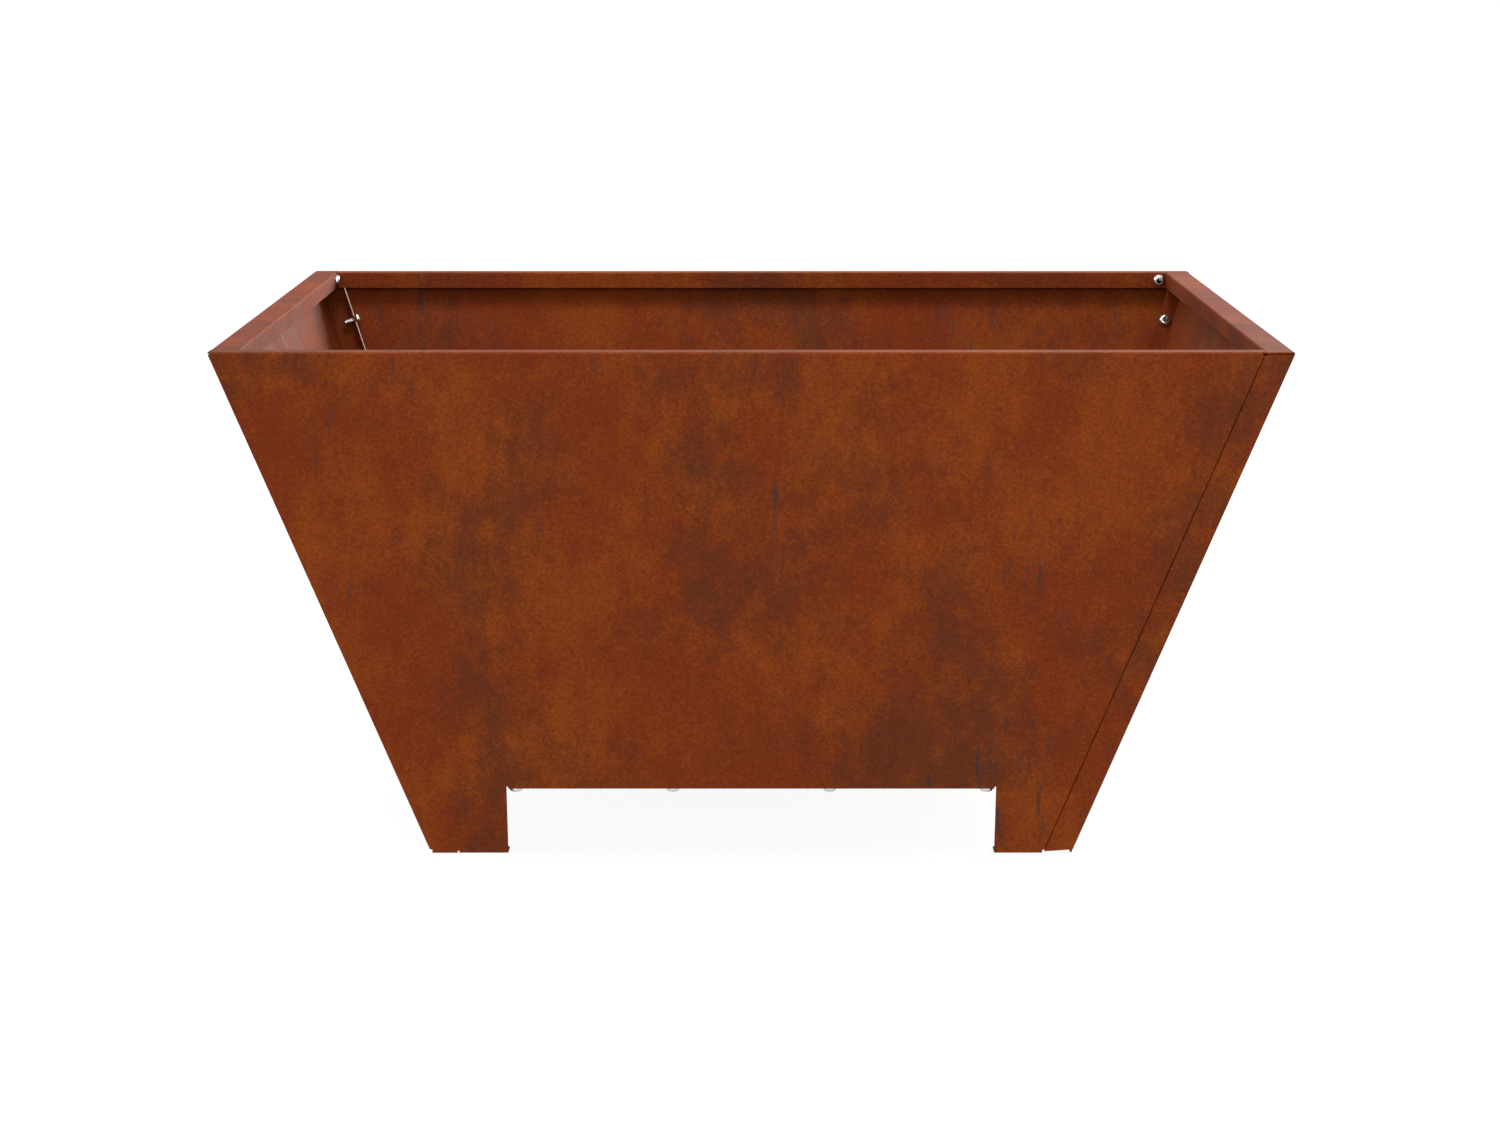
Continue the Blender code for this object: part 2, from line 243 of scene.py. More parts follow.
def rustPatinaGroup():
    # the rust bloom of weathering steel: soft clouds, mottling, run-off streaks and specks
    group, given, out = startGroup(
        "rustPatina",
        {"Position": ("Vector", None), "Sheet": ("Vector", None),
         "Red Rust": ("Color", (0.110, 0.0153, 0.0015, 1)),
         "Orange Rust": ("Color", (0.152, 0.0300, 0.0017, 1)),
         "Brown Rust": ("Color", (0.068, 0.0141, 0.0031, 1)),
         "Mill Scale": ("Color", (0.027, 0.0160, 0.0138, 1)),
         "Cloud Size": ("Float", cloudUnit), "Streaks": ("Float", 1.0), "Specks": ("Float", 1.0)},
        {"Color": "Color", "Roughness": "Float", "Height": "Float"})
    place = given["Position"]
    sheet = given["Sheet"]
    shrink = makeNode(group, "ShaderNodeVectorMath", {0: place}, operation="SCALE")
    group.links.new(combine(group, "DIVIDE", cloudUnit, given["Cloud Size"]),
                    shrink.inputs["Scale"])
    soft = shrink.outputs["Vector"]

    mottle = noiseAt(group, sheet, 58, 5, 0.62, (1, 0.6, 1))
    speckle = noiseAt(group, place, 400, 3, 0.7, (1, 1, 0.9), (1.5, 2.5, 3.5))
    speckles = combine(group, "MULTIPLY", swing(group, speckle, 0, 1), given["Specks"])

    clouds = noiseAt(group, soft, 10, 4, 0.55, (1, 1, 0.8), (3.1, 0.4, 7.7))
    tint = combine(group, "ADD", ramp(group, clouds, 0.38, 0.62, 0.02, 0.66),
                   swing(group, mottle, 0, 0.42))
    tint = combine(group, "ADD", tint, combine(group, "MULTIPLY", speckles, 0.75))
    color = mixColor(group, tint, given["Red Rust"], given["Orange Rust"])

    dull = noiseAt(group, soft, 7, 5, 0.6, (1, 1, 0.75), (11.3, 5.9, 2.2))
    dullness = combine(group, "ADD", dull, swing(group, mottle, 0, -0.10))
    dullness = combine(group, "ADD", dullness, combine(group, "MULTIPLY", speckles, -0.05))
    dullMask = ramp(group, dullness, 0.48, 0.68, 0, 0.85)
    color = mixColor(group, dullMask, color, given["Brown Rust"])

    runs = noiseAt(group, sheet, 130, 4, 0.6, (1, 0.14, 1), (0.6, 0.2, 0))
    strength = combine(group, "MULTIPLY", swing(group, runs, 0, 0.07), given["Streaks"])
    color = scaleColor(group, color, combine(group, "ADD", strength, 1.0))

    marks = noiseAt(group, sheet, 150, 4, 0.62, (1, 0.12, 1), (5.2, 2.9, 0))
    where = noiseAt(group, soft, 9, 3, 0.5, (1, 1, 0.8), (8.8, 1.7, 3.6))
    marked = combine(group, "MULTIPLY", ramp(group, marks, 0.53, 0.66),
                     ramp(group, where, 0.52, 0.64))
    marked = combine(group, "MULTIPLY", marked, given["Streaks"])
    color = mixColor(group, combine(group, "MULTIPLY", marked, 0.7), color, given["Mill Scale"])

    bright = noiseAt(group, place, 230, 3, 0.65, (1, 1, 0.9), (7.5, 0.5, 6.5))
    bright = combine(group, "MULTIPLY", ramp(group, bright, 0.62, 0.76, 0, 0.6), given["Specks"])
    color = mixColor(group, bright, color, given["Orange Rust"])
    group.links.new(color, out["Color"])

    rough = combine(group, "ADD", ramp(group, dull, 0.3, 0.75, 0.79, 0.70),
                    ramp(group, mottle, 0.3, 0.7, -0.04, 0.04))
    group.links.new(combine(group, "SUBTRACT", rough, combine(group, "MULTIPLY", marked, 0.15)),
                    out["Roughness"])
    group.links.new(combine(group, "ADD", combine(group, "MULTIPLY", mottle, 0.5),
                            combine(group, "MULTIPLY", speckle, 0.5)), out["Height"])
    return group


rust = {
    "level": 0.09,              # specular level
    "grainSize": 0.0026,
    "grainContrast": 0.27,
    "bumpStrength": 0.35,
    "bumpDistance": 0.00012,
    "panelShift": (0.9, 0.37),  # moves the streaks from one panel to the next
    "plateCloudSize": 0.09,
}

stainless = {
    "color": (0.60, 0.59, 0.57),
    "roughLow": 0.22,
    "roughHigh": 0.36,
    "roughScale": 420,
    "grainSize": 0.0004,
    "grainContrast": 0.12,
    "bumpStrength": 0.12,
    "bumpDistance": 0.00002,
}


def weatheringSteel(name, patina, grain, values):
    made = bpy.data.materials.new(name)
    made.use_nodes = True
    tree = made.node_tree
    shader = tree.nodes["Principled BSDF"]
    where = makeNode(tree, "ShaderNodeTexCoord").outputs["Object"]
    sheet = makeNode(tree, "ShaderNodeUVMap", uv_map="sheet").outputs["UV"]
    bloom = placeGroup(tree, patina, dict(values, Position=where, Sheet=sheet))
    fine = placeGroup(tree, grain, {"Position": where, "Size": rust["grainSize"],
                                    "Contrast": rust["grainContrast"]})
    tree.links.new(scaleColor(tree, bloom["Color"], fine["Factor"]), shader.inputs["Base Color"])
    tree.links.new(bloom["Roughness"], shader.inputs["Roughness"])
    shader.inputs["Specular IOR Level"].default_value = rust["level"]
    height = combine(tree, "ADD", bloom["Height"], fine["Height"])
    bump = makeNode(tree, "ShaderNodeBump", {"Height": height, "Strength": rust["bumpStrength"],
                                             "Distance": rust["bumpDistance"]})
    tree.links.new(bump.outputs["Normal"], shader.inputs["Normal"])
    return made


def stainlessSteel(grain):
    made = bpy.data.materials.new("stainlessSteel")
    made.use_nodes = True
    tree = made.node_tree
    shader = tree.nodes["Principled BSDF"]
    where = makeNode(tree, "ShaderNodeTexCoord").outputs["Object"]
    fine = placeGroup(tree, grain, {"Position": where, "Size": stainless["grainSize"],
                                    "Contrast": stainless["grainContrast"]})
    tree.links.new(scaleColor(tree, stainless["color"], fine["Factor"]),
                   shader.inputs["Base Color"])
    cloudy = noiseAt(tree, where, stainless["roughScale"], 2, 0.5)
    tree.links.new(ramp(tree, cloudy, 0.35, 0.65, stainless["roughLow"], stainless["roughHigh"]),
                   shader.inputs["Roughness"])
    shader.inputs["Metallic"].default_value = 1
    bump = makeNode(tree, "ShaderNodeBump",
                    {"Height": fine["Height"], "Strength": stainless["bumpStrength"],
                     "Distance": stainless["bumpDistance"]})
    tree.links.new(bump.outputs["Normal"], shader.inputs["Normal"])
    return made


grainGroup = fineGrainGroup()
patinaGroup = rustPatinaGroup()
wallFinish = weatheringSteel("weatheringSteel", patinaGroup, grainGroup, {})
plateFinish = weatheringSteel("weatheringSteelPlate", patinaGroup, grainGroup,
                              {"Cloud Size": rust["plateCloudSize"], "Streaks": 0.0})
screwFinish = stainlessSteel(grainGroup)
print("finishes made")


def wallPlane():
    # half the width at the ground and its growth per metre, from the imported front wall
    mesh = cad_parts["front_panel"].data
    facing = [p for p in mesh.polygons if p.normal.y < -0.9 and p.normal.z < -0.1]
    widest = max(facing, key=lambda p: p.area)
    away = widest.normal.dot(widest.center)
    return away / -widest.normal.y, widest.normal.z / widest.normal.y


baseHalf, slope = wallPlane()
topHeight = cadBox[1].z
inward = Vector((0, 1, slope)).normalized()
sideInward = Vector((1, 0, slope)).normalized()
seamAcross = Vector((slope, -slope, 1)).cross(inward).normalized()

panel = {
    "sheet": 0.0012,
    "bendRadius": 0.0014,
    "bendSteps": 7,
    "fitGap": 0.0003,
    "rimWidth": 0.022,
    "lipHeight": 0.014,
    "tabLength": 0.013,
    "tabDrop": 0.0011,          # the tab passes this far under the next rim
    "seamOffset": 0.022,
    "returnDepth": 0.014,
    "notch": 0.0012,
    "topRelief": 0.0024,
    "topNotch": 0.0025,
    "wrapTopDrop": 0.0020,
    "rimTipInset": 0.0006,
    "legHeight": 0.055,
    "legInner": 0.190,
    "footDepth": 0.020,
    "footRelief": 0.0018,
    "seamFootRelief": 0.0026,
    "cornerFootRelief": 0.0030,
    "cornerFootNotch": 0.0010,
    "floorFlange": 0.022,
    "holeRadius": 0.0033,
    "holeSides": 32,
    "drillLength": 0.012,
    "cutEdge": 0.0002,
    "weldDistance": 1e-6,
}


def halfWidth(z):
    return baseHalf + slope * z


def wallPoint(x, z):
    return Vector((x, -halfWidth(z), z))


def wrapPoint(inset, z):
    # in the left wall's plane, a level distance from the corner line
    return Vector((-halfWidth(z), -halfWidth(z) + inset, z))


def seamX(z):
    return halfWidth(z) - panel["seamOffset"] - panel["fitGap"] / 2


def outline(bm, points):
    # one flat part of the sheet
    corners = [bm.verts.new(p) for p in points]
    edges = [bm.edges.new(pair) for pair in zip(corners, corners[1:] + corners[:1])]
    bmesh.ops.edgeloop_fill(bm, edges=edges)


def foldOut(bm, start, end, startTo, endTo):
    # extrude the edge from start to end, its new corners going to startTo and endTo
    edge = min(bm.edges, key=lambda e: min(
        (e.verts[0].co - start).length + (e.verts[1].co - end).length,
        (e.verts[1].co - start).length + (e.verts[0].co - end).length))
    grown = bmesh.ops.extrude_edge_only(bm, edges=[edge])["geom"]
    for vert in [g for g in grown if isinstance(g, bmesh.types.BMVert)]:
        nearStart = (vert.co - start).length < (vert.co - end).length
        move = startTo - start if nearStart else endTo - end
        bmesh.ops.translate(bm, verts=[vert], vec=move)


def roundFolds(bm):
    # the outside of a fold has the bend radius, its inside that less the sheet
    for edge in [e for e in bm.edges if len(e.link_faces) == 2]:
        angle = edge.calc_face_angle_signed()
        radius = panel["bendRadius"] - (0 if angle > 0 else panel["sheet"])
        bmesh.ops.bevel(bm, geom=[edge], offset=radius * math.tan(abs(angle) / 2),
                        offset_type="OFFSET", segments=panel["bendSteps"], profile=0.5,
                        affect="EDGES", clamp_overlap=False, material=-1)


def panelSkin():
    # the outer skin of the front panel
    bm = bmesh.new()
    top = topHeight
    gap = panel["fitGap"]
    rimInner = -halfWidth(top) + panel["rimWidth"]
    foldTop = top - panel["topRelief"]
    cornerX = -halfWidth(top) + panel["topNotch"]
    rimEnd = -rimInner - gap
    rimFoldEnd = seamX(foldTop) - panel["bendRadius"] - gap
    legTop = panel["legHeight"] + panel["footRelief"]
    flangeEnd = panel["legInner"] - panel["notch"]
    footEnd = halfWidth(0) - panel["seamOffset"]
    seamFoot = panel["seamFootRelief"]
    seamFootEnd = seamX(seamFoot) - panel["bendRadius"] - gap
    corner = panel["cornerFootRelief"]
    cornerFootX = -halfWidth(0) + panel["cornerFootNotch"]
    legInner = panel["legInner"]
    floorZ = panel["legHeight"]
    notch = panel["notch"]

    wall = [(cornerFootX, 0), (-footEnd - notch, 0), (-footEnd - notch, panel["footRelief"]),
            (-footEnd, panel["footRelief"]), (-footEnd, 0), (-legInner, 0), (-legInner, legTop),
            (-flangeEnd, legTop), (-flangeEnd, floorZ), (flangeEnd, floorZ), (flangeEnd, legTop),
            (legInner, legTop), (legInner, 0), (seamFootEnd, 0), (seamFootEnd, seamFoot),
            (seamX(seamFoot), seamFoot), (seamX(foldTop), foldTop), (rimFoldEnd, foldTop),
            (rimFoldEnd, top), (cornerX, top), (cornerX, foldTop), (-halfWidth(foldTop), foldTop),
            (-halfWidth(corner), corner), (cornerFootX, corner)]
    outline(bm, [wallPoint(x, z) for x, z in wall])

    foldY = -halfWidth(top)
    cutY = foldY + panel["topRelief"]
    slotY = rimInner - panel["topRelief"]
    tip = foldY + panel["rimTipInset"]
    rim = [(cornerX, foldY), (rimFoldEnd, foldY), (rimFoldEnd, cutY), (rimEnd, cutY),
           (rimEnd, rimInner), (-rimEnd, rimInner), (-rimEnd, slotY), (-rimEnd - notch, slotY),
           (-rimEnd - notch, rimInner), (tip, rimInner), (tip, cutY), (cornerX, cutY)]
    outline(bm, [Vector((x, y, top)) for x, y in rim])

    tabX = -rimInner + panel["sheet"] + gap
    tabTop = top - panel["sheet"] - panel["tabDrop"]
    lipFoot = top - panel["lipHeight"]
    lip = [(-rimEnd, lipFoot), (-rimEnd, top), (rimEnd, top), (rimEnd, tabTop), (tabX, tabTop),
           (tabX, lipFoot)]
    outline(bm, [Vector((x, rimInner, z)) for x, z in lip])

    wrap = panel["seamOffset"] - gap / 2
    near, far = panel["topNotch"], wrap - panel["topNotch"]
    wrapTop = top - panel["wrapTopDrop"]
    wrapped = [(0, corner), (0, foldTop), (near, foldTop), (near, wrapTop), (far, wrapTop),
               (far, foldTop), (wrap, foldTop), (wrap, seamFoot / 2)]
    outline(bm, [wrapPoint(inset, z) for inset, z in wrapped])
    bmesh.ops.remove_doubles(bm, verts=bm.verts, dist=panel["weldDistance"])

    tabEdge = [Vector((tabX, rimInner, z)) for z in (tabTop, lipFoot)]
    along = Vector((0, panel["tabLength"], 0))
    foldOut(bm, *tabEdge, tabEdge[0] + along, tabEdge[1] + along)

    wrapEdge = [wrapPoint(wrap, seamFoot / 2), wrapPoint(wrap, foldTop)]
    deep = panel["returnDepth"]
    lower = foldTop - deep * sideInward.z
    foldOut(bm, *wrapEdge, wrapEdge[0] + deep * sideInward,
            wrapPoint(wrap, lower) + deep * sideInward)
    seamEdge = [wallPoint(seamX(seamFoot), seamFoot), wallPoint(seamX(foldTop), foldTop)]
    lower = foldTop - deep * inward.z
    foldOut(bm, *seamEdge, seamEdge[0] + deep * inward,
            wallPoint(seamX(lower), lower) + deep * inward)

    for left, right, z, depth in ((-flangeEnd, flangeEnd, floorZ, panel["floorFlange"]),
                                  (-footEnd, -legInner, 0, panel["footDepth"]),
                                  (legInner, seamFootEnd, 0, panel["footDepth"])):
        edge = [wallPoint(left, z), wallPoint(right, z)]
        foldOut(bm, *edge, *[p + Vector((0, depth, 0)) for p in edge])

    bmesh.ops.recalc_face_normals(bm, faces=bm.faces)
    if max(bm.faces, key=lambda f: f.calc_area()).normal.y > 0:
        bmesh.ops.reverse_faces(bm, faces=bm.faces)
    roundFolds(bm)
    return bm


def toObject(bm, name):
    # smooth before any modifier, so that the weighted normals hold on the flat parts
    for face in bm.faces:
        face.smooth = True
    mesh = bpy.data.meshes.new(name)
    bm.to_mesh(mesh)
    bm.free()
    obj = bpy.data.objects.new(name, mesh)
    scene.collection.objects.link(obj)
    return obj


def finishedMesh(obj, name):
    # the object's mesh with its modifiers applied; the object goes
    graph = bpy.context.evaluated_depsgraph_get()
    mesh = bpy.data.meshes.new_from_object(obj.evaluated_get(graph))
    mesh.name = name
    bpy.data.objects.remove(obj)
    return mesh


def cutHoles(obj, holes):
    # one drill for all the holes: each is a centre, an axis and a radius
    bm = bmesh.new()
    for centre, axis, radius in holes:
        turn = axis.to_track_quat("Z", "Y").to_matrix().to_4x4()
        bmesh.ops.create_cone(bm, cap_ends=True, segments=panel["holeSides"], radius1=radius,
                              radius2=radius, depth=panel["drillLength"],
                              matrix=Matrix.Translation(centre) @ turn)
    drill = toObject(bm, "drill")
    drill.hide_render = True
    cut = obj.modifiers.new("holes", "BOOLEAN")
    cut.operation = "DIFFERENCE"
    cut.solver = "EXACT"
    cut.object = drill
    return drill


def easeEdges(obj, width, steps=2, angle=40):
    ease = obj.modifiers.new("easedEdges", "BEVEL")
    ease.width = width
    ease.segments = steps
    ease.limit_method = "ANGLE"
    ease.angle_limit = math.radians(angle)
    ease.use_clamp_overlap = False
    ease.harden_normals = False
    even = obj.modifiers.new("evenShading", "WEIGHTED_NORMAL")
    even.keep_sharp = True
    even.weight = 100


places = {
    "rimInset": 0.0062,
    "rimDrop": 0.007,
    "seamDepth": 0.0078,
    "seamDrop": 0.0452,
    "seamPitch": 0.135,
    "floorX": (-0.183, -0.061, 0.061, 0.183),
    "floorInset": 0.009,
}


def rimScrewPlace():
    inner = halfWidth(topHeight) - panel["rimWidth"]
    return Vector((-inner + places["rimInset"], -inner, topHeight - places["rimDrop"]))


def seamScrewPlaces():
    found = []
    for row in range(len(seamRows)):
        z = topHeight - places["seamDrop"] - row * places["seamPitch"]
        onSeam = wallPoint(seamX(z), z) + places["seamDepth"] * inward
        found.append(onSeam + panel["sheet"] * seamAcross)
    return found


def floorScrewPlaces():
    y = -halfWidth(panel["legHeight"]) + places["floorInset"]
    return [Vector((x, y, panel["legHeight"])) for x in places["floorX"]]


def panelMesh():
    blank = toObject(panelSkin(), "panelBlank")
    wall = blank.modifiers.new("sheet", "SOLIDIFY")
    wall.solidify_mode = "NON_MANIFOLD"
    wall.nonmanifold_thickness_mode = "CONSTRAINTS"
    wall.nonmanifold_boundary_mode = "NONE"
    wall.thickness = panel["sheet"]
    wall.offset = -1
    radius = panel["holeRadius"]
    back = Matrix.Rotation(-quarterTurn, 3, "Z")
    onward = Matrix.Rotation(quarterTurn, 3, "Z")
    lipAxis = Vector((0, -1, 0))
    holes = [(rimScrewPlace(), lipAxis, radius),
             (onward @ rimScrewPlace(), onward @ lipAxis, radius)]
    holes += [(centre, upward, radius) for centre in floorScrewPlaces()]
    for centre in seamScrewPlaces():
        holes.append((centre, -seamAcross, radius))
        holes.append((back @ centre, -(back @ seamAcross), radius))
    drill = cutHoles(blank, holes)
    easeEdges(blank, panel["cutEdge"])
    mesh = finishedMesh(blank, "foldedPanel")
    bpy.data.objects.remove(drill)
    return mesh


def layFlat(mesh, shift=(0, 0)):
    # a metric map for streaks: u runs level along the sheet, v up it
    bm = bmesh.new()
    bm.from_mesh(mesh)
    layer = bm.loops.layers.uv.new("sheet")
    steep = math.hypot(1, slope)
    for face in bm.faces:
        n = face.normal
        for loop in face.loops:
            p = loop.vert.co
            if abs(n.z) > max(abs(n.x), abs(n.y)):
                u, v = p.x, p.y
            elif abs(n.y) > abs(n.x):
                u, v = p.x, p.z * steep
            else:
                u, v = p.y, p.z * steep
            loop[layer].uv = (u + shift[0], v + shift[1])
    bm.to_mesh(mesh)
    bm.free()


def addPiece(name, mesh, finish, slot, *nodes):
    mesh.materials.clear()
    mesh.materials.append(finish)
    obj = bpy.data.objects.new(name, mesh)
    scene.collection.objects.link(obj)
    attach(obj, "root")
    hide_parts(*nodes)
    return obj


folded = panelMesh()
for turn, side in enumerate(sides):
    mesh = folded.copy()
    mesh.transform(Matrix.Rotation(turn * quarterTurn, 4, "Z"))
    layFlat(mesh, [shift * turn for shift in rust["panelShift"]])
    addPiece(side + "Panel", mesh, wallFinish, "weathering_steel", side + "_panel")
bpy.data.meshes.remove(folded)
print("four folded panels made")

plate = {
    "notch": 0.0232,
    "drainRadius": 0.006,
    "drainSpacing": 0.120,
    "cutEdge": 0.00025,
}


def plateMesh():
    low, high = (corner.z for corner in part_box("floor_plate"))
    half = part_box("floor_plate")[1].x
    inner = half - plate["notch"]
    bm = bmesh.new()
    bmesh.ops.create_grid(bm, x_segments=3, y_segments=3, size=half,
                          matrix=Matrix.Translation((0, 0, low)))
    for vert in bm.verts:
        for axis in (0, 1):
            if abs(vert.co[axis]) < half * 0.9:
                vert.co[axis] = math.copysign(inner, vert.co[axis])
    cornerFaces = [f for f in bm.faces if min(abs(f.calc_center_median().x),
                                              abs(f.calc_center_median().y)) > half / 2]
    bmesh.ops.delete(bm, geom=cornerFaces, context="FACES")
    bmesh.ops.dissolve_limit(bm, angle_limit=0.01, verts=bm.verts, edges=bm.edges)
    grown = bmesh.ops.extrude_face_region(bm, geom=bm.faces[:])["geom"]
    bmesh.ops.translate(bm, vec=(0, 0, high - low),
                        verts=[g for g in grown if isinstance(g, bmesh.types.BMVert)])
    bmesh.ops.recalc_face_normals(bm, faces=bm.faces)
    blank = toObject(bm, "plateBlank")
    holes = [(Vector((0, 0, low)), upward, plate["drainRadius"])]
    for turn in range(4):
        spin = Matrix.Rotation(turn * quarterTurn, 3, "Z")
        holes += [(spin @ centre, upward, panel["holeRadius"]) for centre in floorScrewPlaces()]
        drain = Vector((plate["drainSpacing"], plate["drainSpacing"], low))
        holes.append((spin @ drain, upward, plate["drainRadius"]))
    drill = cutHoles(blank, holes)
    easeEdges(blank, plate["cutEdge"])
    mesh = finishedMesh(blank, "floorPlate")
    bpy.data.objects.remove(drill)
    layFlat(mesh)
    return mesh


addPiece("floorPlate", plateMesh(), plateFinish, "weathering_steel", "floor_plate")
print("floor plate made")

screw = {
    "radius": 0.0030,
    "length": 0.012,
    "pitch": 0.0010,
    "threadDepth": 0.00054,
    "stepsPerTurn": 24,
    "crestShare": 0.16,
    "tipChamfer": 0.0006,
    "headRadius": 0.00525,
    "headHeight": 0.0033,
    "rimHeight": 0.0006,
    "crownRadius": 0.0027,
    "headSides": 48,
    "domeSteps": 8,
    "socketWidth": 0.004,
    "socketDepth": 0.0021,
    "socketChamfer": 0.0003,
    "socketPoint": 0.0005,      # the drilled point of the socket's floor
    "seatChamfer": 0.00025,
    "shankOverlap": 0.0006,     # of the thread with the head
    "sharpAngle": 32,
}


def threadMesh():
    # a shank with a real helix, standing in the head a little
    pitch = screw["pitch"]
    crest = screw["radius"]
    root = crest - screw["threadDepth"]
    flat = screw["crestShare"] * pitch
    start = -screw["shankOverlap"]
    turns = math.ceil((screw["length"] - start) / pitch) + 2
    steps = screw["stepsPerTurn"]
    bm = bmesh.new()
    low = start - pitch
    profile = [(root, low), (root, low + flat), (crest, low + pitch / 2 - flat / 2),
               (crest, low + pitch / 2 + flat / 2), (root, low + pitch)]
    points = [bm.verts.new((r, 0, z)) for r, z in profile]
    edges = [bm.edges.new(pair) for pair in zip(points, points[1:])]
    bmesh.ops.spin(bm, geom=points + edges, cent=(0, 0, 0), axis=(0, 0, 1),
                   dvec=(0, 0, pitch / steps), angle=math.tau * turns, steps=steps * turns,
                   use_merge=False)
    bmesh.ops.remove_doubles(bm, verts=bm.verts, dist=1e-6)
    for z, up in ((start, -1), (screw["length"], 1)):
        bmesh.ops.bisect_plane(bm, geom=bm.verts[:] + bm.edges[:] + bm.faces[:], dist=1e-7,
                               plane_co=(0, 0, z), plane_no=(0, 0, up), clear_outer=True)
        rimEdges = [e for e in bm.edges if e.is_boundary
                    and all(abs(v.co.z - z) < 1e-6 for v in e.verts)]
        bmesh.ops.edgenet_fill(bm, edges=rimEdges)
    for vert in bm.verts:
        over = vert.co.z - (screw["length"] - screw["tipChamfer"])
        reach = math.hypot(vert.co.x, vert.co.y)
        allowed = crest - over
        if over > 0 and reach > allowed:
            vert.co.x *= allowed / reach
            vert.co.y *= allowed / reach
    bmesh.ops.recalc_face_normals(bm, faces=bm.faces)
    return toObject(bm, "thread")


def headMesh():
    # the button: its flat underside at z = 0, the crown and the socket below it
    sidesRound = screw["headSides"]
    outer, crown = screw["headRadius"], screw["crownRadius"]
    rimZ, crownZ = -screw["rimHeight"], -screw["headHeight"]
    bm = bmesh.new()
    seat = screw["seatChamfer"]
    profile = [(0, 0), (outer - seat, 0), (outer, -seat), (outer, rimZ)]
    for step in range(1, screw["domeSteps"] + 1):
        angle = step / screw["domeSteps"] * quarterTurn
        profile.append((crown + (outer - crown) * math.cos(angle),
                        rimZ + (crownZ - rimZ) * math.sin(angle)))
    points = [bm.verts.new((r, 0, z)) for r, z in profile]
    edges = [bm.edges.new(pair) for pair in zip(points, points[1:])]
    bmesh.ops.spin(bm, geom=points + edges, cent=(0, 0, 0), axis=(0, 0, 1), angle=math.tau,
                   steps=sidesRound, use_merge=True)
    bmesh.ops.remove_doubles(bm, verts=bm.verts, dist=1e-7)

    def socketRing(width, z):
        # a hexagon with as many corners as the crown
        radius = width / 2 / math.cos(math.pi / 6)
        made = bmesh.ops.create_circle(bm, segments=6, radius=radius,
                                       matrix=Matrix.Translation((0, 0, z)))["verts"]
        loop = list({e for v in made for e in v.link_edges})
        cut = bmesh.ops.subdivide_edges(bm, edges=loop, cuts=sidesRound // 6 - 1)
        return loop + [g for g in cut["geom_inner"] if isinstance(g, bmesh.types.BMEdge)
                       and g not in loop]

    crownRing = [e for e in bm.edges if e.is_boundary]
    mouthWidth = screw["socketWidth"] + 2 * screw["socketChamfer"]
    mouth = socketRing(mouthWidth, crownZ)
    throat = socketRing(screw["socketWidth"], crownZ + screw["socketChamfer"])
    floor = socketRing(screw["socketWidth"], crownZ + screw["socketDepth"])
    for one, other in ((crownRing, mouth), (mouth, throat), (throat, floor)):
        bmesh.ops.bridge_loops(bm, edges=one + other)
    bmesh.ops.edgeloop_fill(bm, edges=floor)
    base = max(bm.faces, key=lambda f: (len(f.verts), f.calc_center_median().z))
    poked = bmesh.ops.poke(bm, faces=[base])["verts"]
    bmesh.ops.translate(bm, verts=poked, vec=(0, 0, screw["socketPoint"]))
    bmesh.ops.recalc_face_normals(bm, faces=bm.faces)
    return toObject(bm, "buttonHead")


def screwMesh():
    head = headMesh()
    thread = threadMesh()
    join = head.modifiers.new("shank", "BOOLEAN")
    join.operation = "UNION"
    join.solver = "EXACT"
    join.object = thread
    mesh = finishedMesh(head, "buttonHeadScrew")
    bpy.data.objects.remove(thread)
    mesh.set_sharp_from_angle(angle=math.radians(screw["sharpAngle"]))
    return mesh


nut = {
    "width": 0.010,
    "height": 0.005,
    "faceRadius": 0.0047,
    "chamferAngle": 30,
    "boreRadius": 0.00304,
    "boreChamfer": 0.0004,
    "sides": 48,
    "toolOverlap": 0.001,       # how far the cutting shapes reach past the nut
    "sharpAngle": 28,
}


def turnedBody(profile, name, steps):
    # a closed profile of (radius, z) points turned round the Z axis
    bm = bmesh.new()
    points = [bm.verts.new((r, 0, z)) for r, z in profile]
    edges = [bm.edges.new(pair) for pair in zip(points, points[1:])]
    bmesh.ops.spin(bm, geom=points + edges, cent=(0, 0, 0), axis=(0, 0, 1), angle=math.tau,
                   steps=steps, use_merge=True)
    bmesh.ops.remove_doubles(bm, verts=bm.verts, dist=1e-7)
    bmesh.ops.recalc_face_normals(bm, faces=bm.faces)
    return toObject(bm, name)


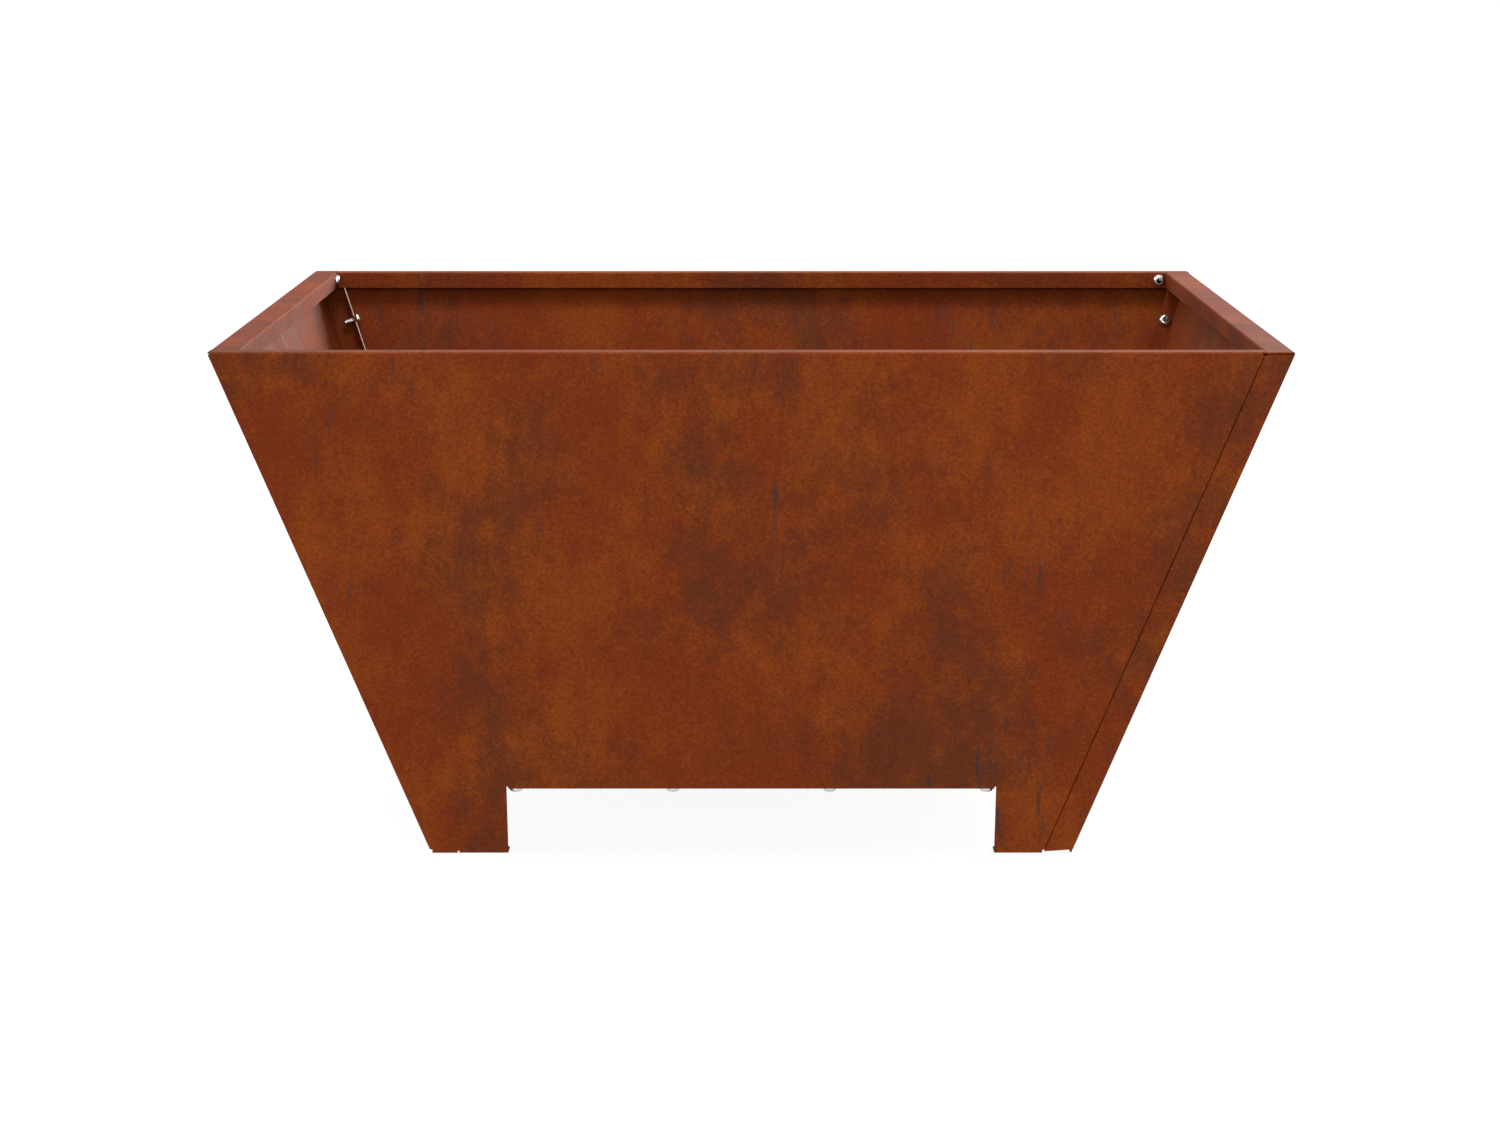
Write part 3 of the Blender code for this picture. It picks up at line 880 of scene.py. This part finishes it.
def nutMesh():
    height = nut["height"]
    across = nut["width"] / 2 / math.cos(math.pi / 6)
    bm = bmesh.new()
    bmesh.ops.create_cone(bm, cap_ends=True, segments=6, radius1=across, radius2=across,
                          depth=height, matrix=Matrix.Translation((0, 0, height / 2)))
    hexagon = toObject(bm, "hexagonNut")
    reach = nut["toolOverlap"]
    wide = across + reach
    rise = (wide - nut["faceRadius"]) * math.tan(math.radians(nut["chamferAngle"]))
    barrel = turnedBody([(0, 0), (nut["faceRadius"], 0), (wide, rise), (wide, height - rise),
                         (nut["faceRadius"], height), (0, height)], "barrel", nut["sides"])
    bore, chamfer = nut["boreRadius"], nut["boreChamfer"]
    below, over = -reach, height + reach
    mouth = bore + chamfer
    drill = turnedBody([(0, below), (mouth, below), (mouth, 0), (bore, chamfer),
                        (bore, height - chamfer), (mouth, height), (mouth, over), (0, over)],
                       "boreDrill", nut["sides"])
    for tool, how in ((barrel, "INTERSECT"), (drill, "DIFFERENCE")):
        cut = hexagon.modifiers.new(how.lower(), "BOOLEAN")
        cut.operation = how
        cut.solver = "EXACT"
        cut.object = tool
    mesh = finishedMesh(hexagon, "hexagonNut")
    bpy.data.objects.remove(barrel)
    bpy.data.objects.remove(drill)
    mesh.set_sharp_from_angle(angle=math.radians(nut["sharpAngle"]))
    return mesh


def standIn(node, axis, length):
    # a turn and place for a fastener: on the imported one's middle line, ending where it ends
    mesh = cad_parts[node].data
    area = sum(p.area for p in mesh.polygons)
    middle = sum((p.area * p.center for p in mesh.polygons), Vector()) / area
    reach = max(v.co.dot(axis) for v in mesh.vertices)
    base = middle + (reach - length - middle.dot(axis)) * axis
    return Matrix.Translation(base) @ axis.to_track_quat("Z", "Y").to_matrix().to_4x4()


rollStep = 37         # degrees from one fastener to the next, as each is screwed home


def addFastener(node, pattern, axis, length, index):
    roll = Matrix.Rotation(math.radians(rollStep * index), 4, "Z")
    mesh = pattern.copy()
    mesh.transform(standIn(node, axis, length) @ roll)
    words = node.split("_")
    name = words[0] + "".join(w.capitalize() for w in words[1:])
    addPiece(name, mesh, screwFinish, "stainless_steel", node)


screwPattern = screwMesh()
nutPattern = nutMesh()
count = 0
for turn, side in enumerate(sides):
    spin = Matrix.Rotation(turn * quarterTurn, 3, "Z")
    wanted = [(side + "_rim_screw", screwPattern, spin @ Vector((0, -1, 0)), screw["length"])]
    for row in seamRows:
        wanted.append((side + "_seam_screw_" + row, screwPattern, spin @ -seamAcross,
                       screw["length"]))
    for number in range(1, len(places["floorX"]) + 1):
        wanted.append((side + "_floor_screw_" + str(number), screwPattern, upward,
                       screw["length"]))
        wanted.append((side + "_floor_nut_" + str(number), nutPattern, upward, nut["height"]))
    for item in wanted:
        addFastener(*item, count)
        count += 1
bpy.data.meshes.remove(screwPattern)
bpy.data.meshes.remove(nutPattern)
print(count, "screws and nuts made")
